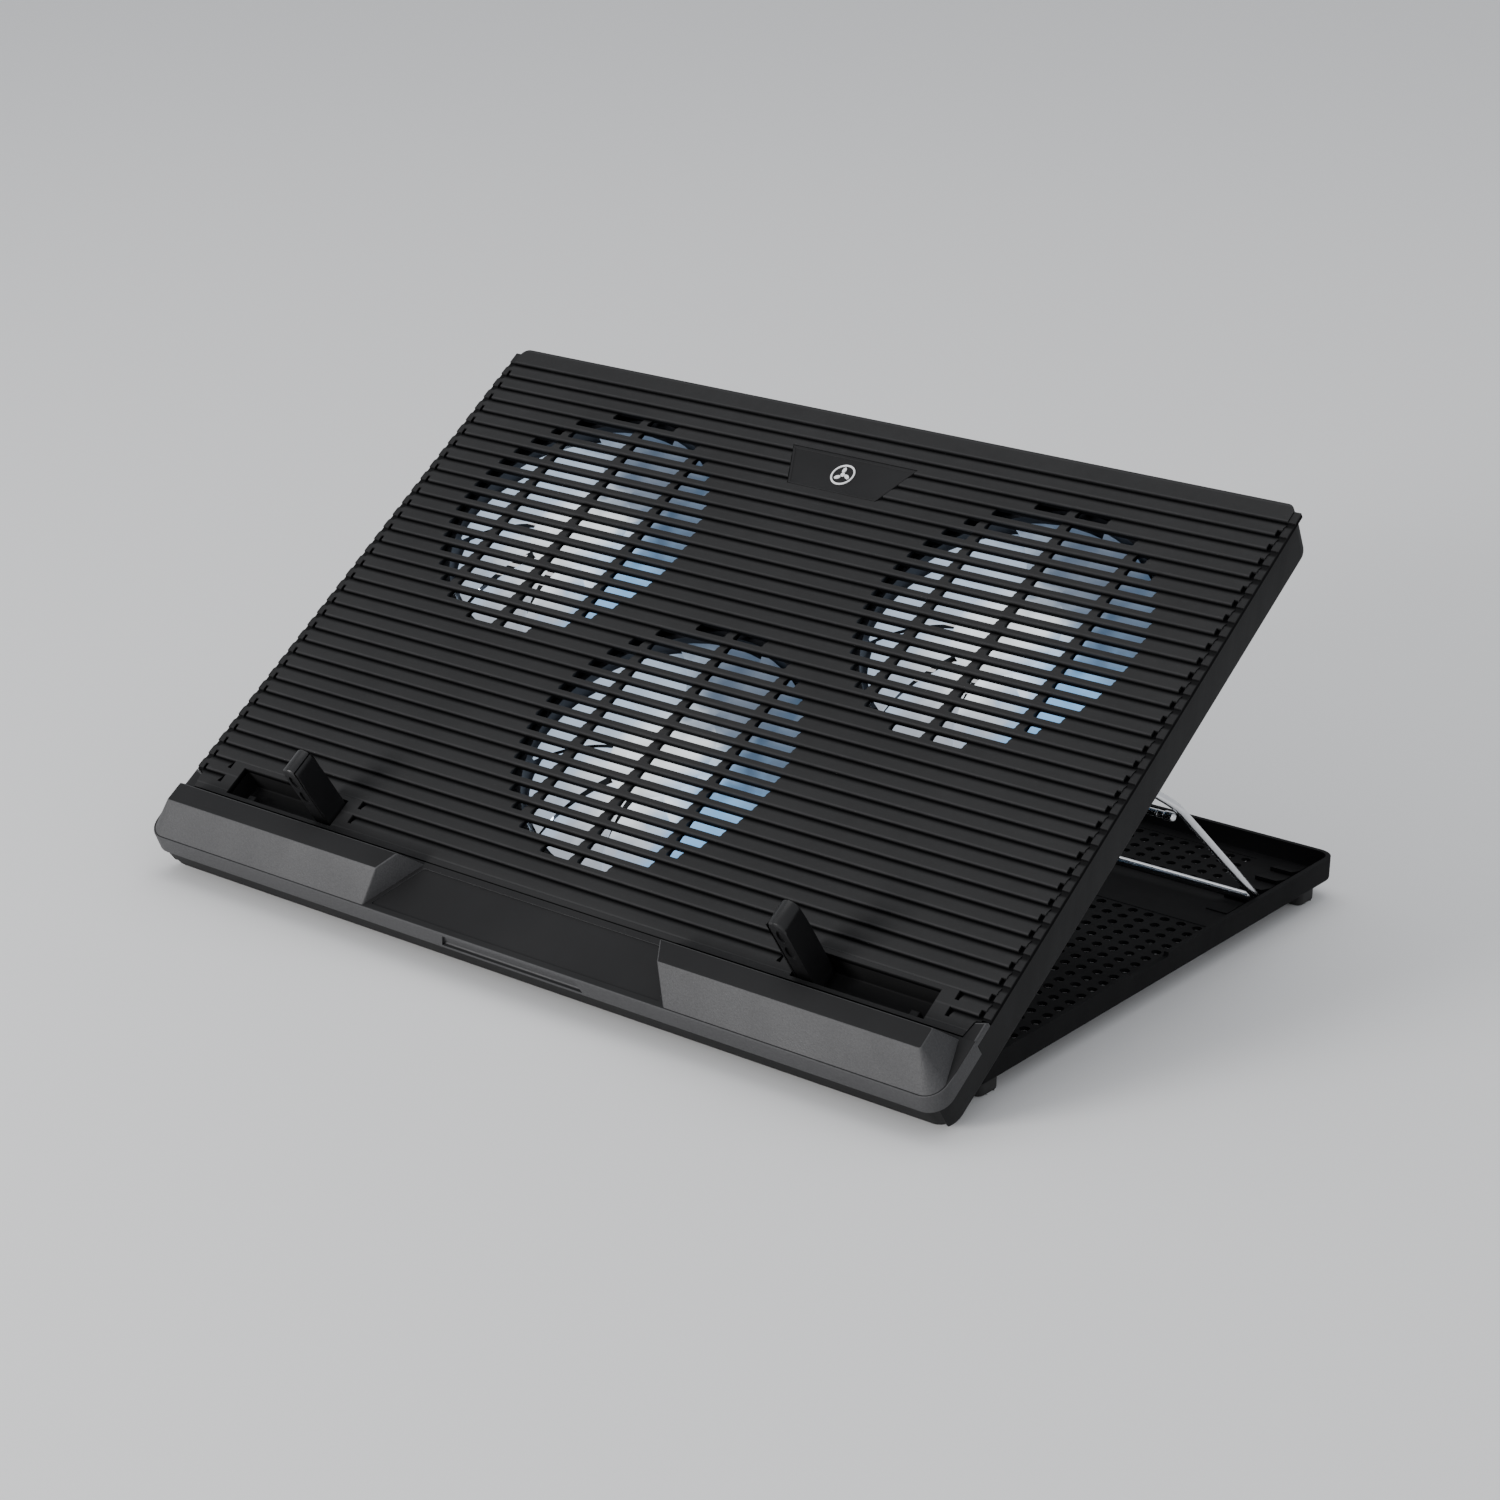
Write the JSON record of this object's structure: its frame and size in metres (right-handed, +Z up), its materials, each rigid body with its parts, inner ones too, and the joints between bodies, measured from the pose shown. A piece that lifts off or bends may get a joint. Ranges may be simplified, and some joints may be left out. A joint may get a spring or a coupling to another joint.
{
  "type": "laptop cooling pad",
  "caption": "Ribbed laptop cooling deck with slotted fan fields, tilting on a low perforated tray and propped by a bent wire, with flip-up stops at its front edge.",
  "frame": {"origin": "middle of the footprint's bounding box, on the table, with the deck raised", "axes": "+X to the user's right, +Y away from the user, +Z up"},
  "size_m": [0.408, 0.3092, 0.1868],
  "materials": {
    "shell": "fine matt black moulding",
    "trim": "coarsely textured dark grey moulding",
    "rubber": "matt",
    "steel": "bright plated",
    "rotor": "translucent, lit from inside",
    "sign": "printed",
    "board": "lacquered"
  },
  "bodies": {
    "base": {"base_tray": "shell", "base_foot_front_left": "rubber", "base_foot_front_right": "rubber", "base_foot_rear_left": "rubber", "base_foot_rear_right": "rubber", "hinge_pin_left": "steel", "hinge_pin_right": "steel"},
    "deck": {"deck_bottom": "shell", "deck_top": "shell", "front_trim": "trim", "badge_plate": "shell", "badge_emblem": "sign", "fan_frame_left": "shell", "fan_frame_right": "shell", "fan_frame_centre": "shell", "stop_well_left": "shell", "stop_well_right": "shell", "stop_pin_left": "steel", "stop_pin_right": "steel", "prop_block_left": "shell", "prop_block_right": "shell", "circuit_board": "board", "usb_socket_left": "steel", "usb_socket_right": "steel", "switch_housing": "shell", "deck_screw_1": "steel", "deck_screw_2": "steel", "deck_screw_3": "steel", "deck_screw_4": "steel", "deck_screw_5": "steel", "deck_screw_6": "steel"},
    "prop": {"prop_wire": "steel", "prop_brace": "steel"},
    "left_stop": {"stop_left": "shell"},
    "right_stop": {"stop_right": "shell"},
    "left_rotor": {"fan_rotor_left": "rotor"},
    "right_rotor": {"fan_rotor_right": "rotor"},
    "centre_rotor": {"fan_rotor_centre": "rotor"},
    "rocker": {"switch_rocker": "rubber"}
  },
  "joints": [
    {"name": "deck_tilt", "type": "hinge", "parent": "base", "child": "deck", "pos_m": [0, -0.11266, 0.0142], "axis": [1, 0, 0], "range_deg": [-35, 0]},
    {"name": "prop_swing", "type": "hinge", "parent": "deck", "child": "prop", "pos_m": [0, 0.00012, 0.09548], "axis": [1, 0, 0], "range_deg": [0, 75]},
    {"name": "stop_left_fold", "type": "hinge", "parent": "deck", "child": "left_stop", "pos_m": [-0.1245, -0.11959, 0.0323], "axis": [0, 0.8192, 0.5736], "range_deg": [-90, 0]},
    {"name": "stop_right_fold", "type": "hinge", "parent": "deck", "child": "right_stop", "pos_m": [0.1245, -0.11959, 0.0323], "axis": [0, 0.8192, 0.5736], "range_deg": [0, 90]},
    {"name": "fan_left_spin", "type": "hinge", "parent": "deck", "child": "left_rotor", "pos_m": [-0.1115, 0.02434, 0.12722], "axis": [0, -0.5736, 0.8192], "continuous": true},
    {"name": "fan_right_spin", "type": "hinge", "parent": "deck", "child": "right_rotor", "pos_m": [0.1115, 0.02434, 0.12722], "axis": [0, -0.5736, 0.8192], "continuous": true},
    {"name": "fan_centre_spin", "type": "hinge", "parent": "deck", "child": "centre_rotor", "pos_m": [0, -0.05552, 0.0713], "axis": [0, -0.5736, 0.8192], "continuous": true},
    {"name": "rocker_tip", "type": "hinge", "parent": "deck", "child": "rocker", "pos_m": [0.025, 0.09085, 0.17494], "axis": [1, 0, 0], "range_deg": [0, 16]}
  ],
  "couplings": [
    {"joint": "prop_swing", "follows": "deck_tilt", "ratio": -2.139}
  ]
}
